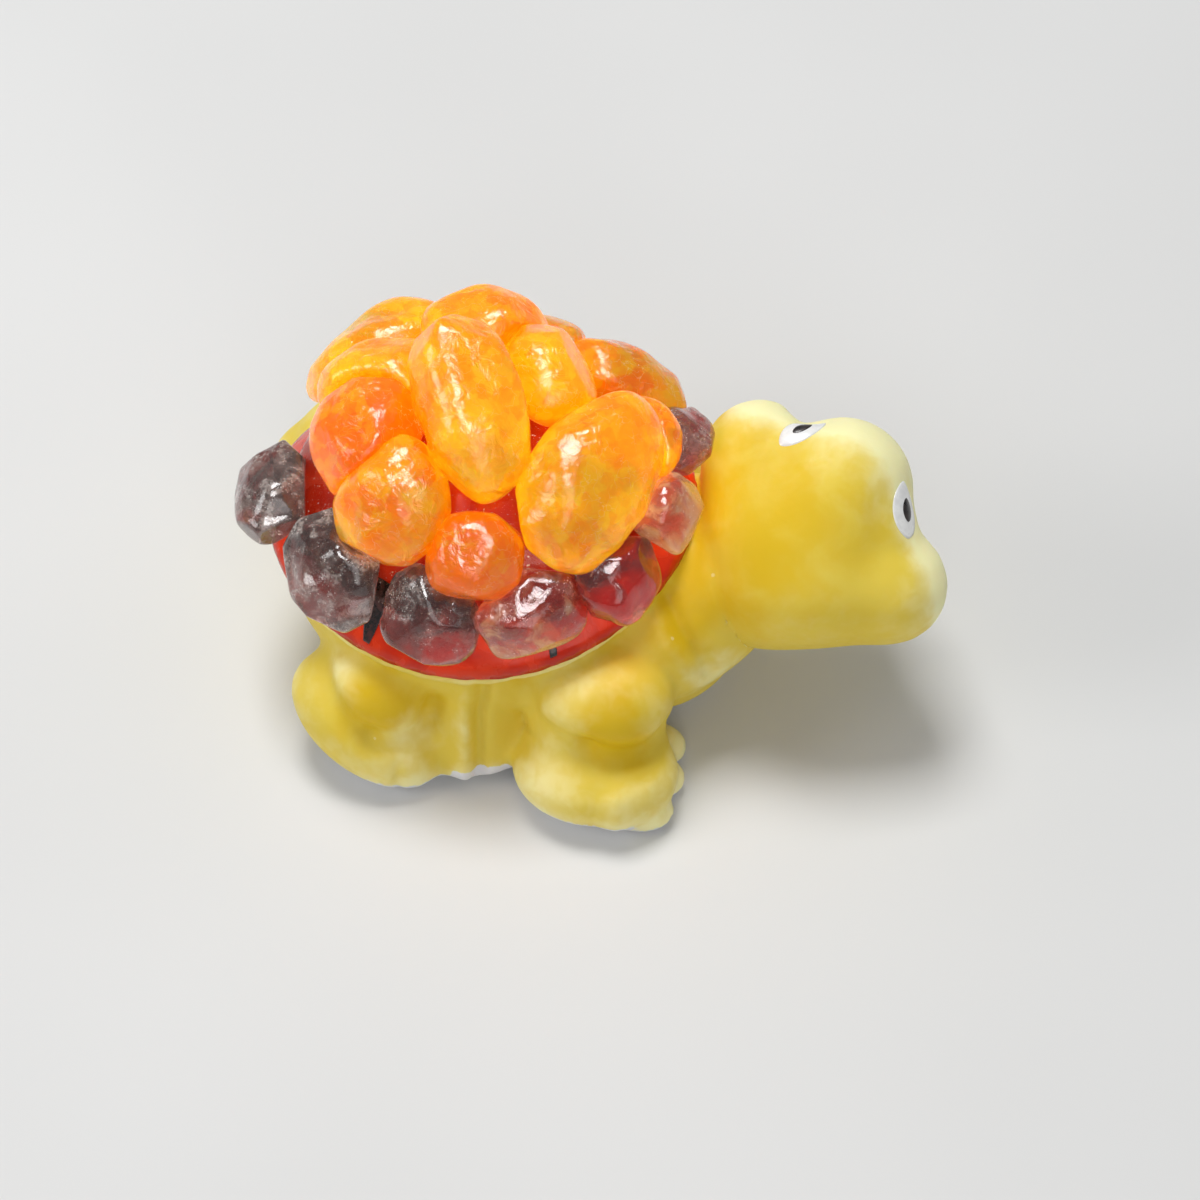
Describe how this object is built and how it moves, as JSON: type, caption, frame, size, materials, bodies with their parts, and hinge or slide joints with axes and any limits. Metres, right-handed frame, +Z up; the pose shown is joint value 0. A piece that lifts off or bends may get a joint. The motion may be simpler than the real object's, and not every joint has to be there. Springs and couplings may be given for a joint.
{
  "type": "turtle_figurine",
  "caption": "Small cast turtle ornament looking up over its left shoulder, its red enamelled shell ringed with dark cherry amber and heaped with clear orange amber",
  "frame": {"origin": "on the ground plane, under the middle of the figurine's bounding box", "axes": "+X towards the turtle's head end, +Y to the turtle's left, +Z up from the soles"},
  "size_m": [0.0412, 0.028, 0.0262],
  "materials": {
    "casting": "satin",
    "enamel": "gloss",
    "adhesive": "gloss",
    "orange_amber": "gloss",
    "cherry_amber": "gloss",
    "eye_white": "satin",
    "pupil": "satin"
  },
  "bodies": {
    "root": {"turtle_casting": "casting", "shell_enamel": "enamel", "adhesive_bed": "adhesive", "amber_stone_01": "orange_amber", "amber_stone_02": "orange_amber", "amber_stone_03": "orange_amber", "amber_stone_04": "orange_amber", "amber_stone_05": "orange_amber", "amber_stone_06": "orange_amber", "amber_stone_07": "orange_amber", "amber_stone_08": "orange_amber", "amber_stone_09": "orange_amber", "amber_stone_10": "orange_amber", "amber_stone_11": "orange_amber", "amber_stone_12": "orange_amber", "amber_stone_13": "orange_amber", "cherry_stone_01": "cherry_amber", "cherry_stone_02": "cherry_amber", "cherry_stone_03": "cherry_amber", "cherry_stone_04": "cherry_amber", "cherry_stone_05": "cherry_amber", "cherry_stone_06": "cherry_amber", "cherry_stone_07": "cherry_amber", "cherry_stone_08": "cherry_amber", "cherry_stone_09": "cherry_amber", "cherry_stone_10": "cherry_amber", "cherry_stone_11": "cherry_amber", "cherry_stone_12": "cherry_amber", "eye_white_left": "eye_white", "pupil_left": "pupil", "eye_white_right": "eye_white", "pupil_right": "pupil"}
  },
  "joints": []
}
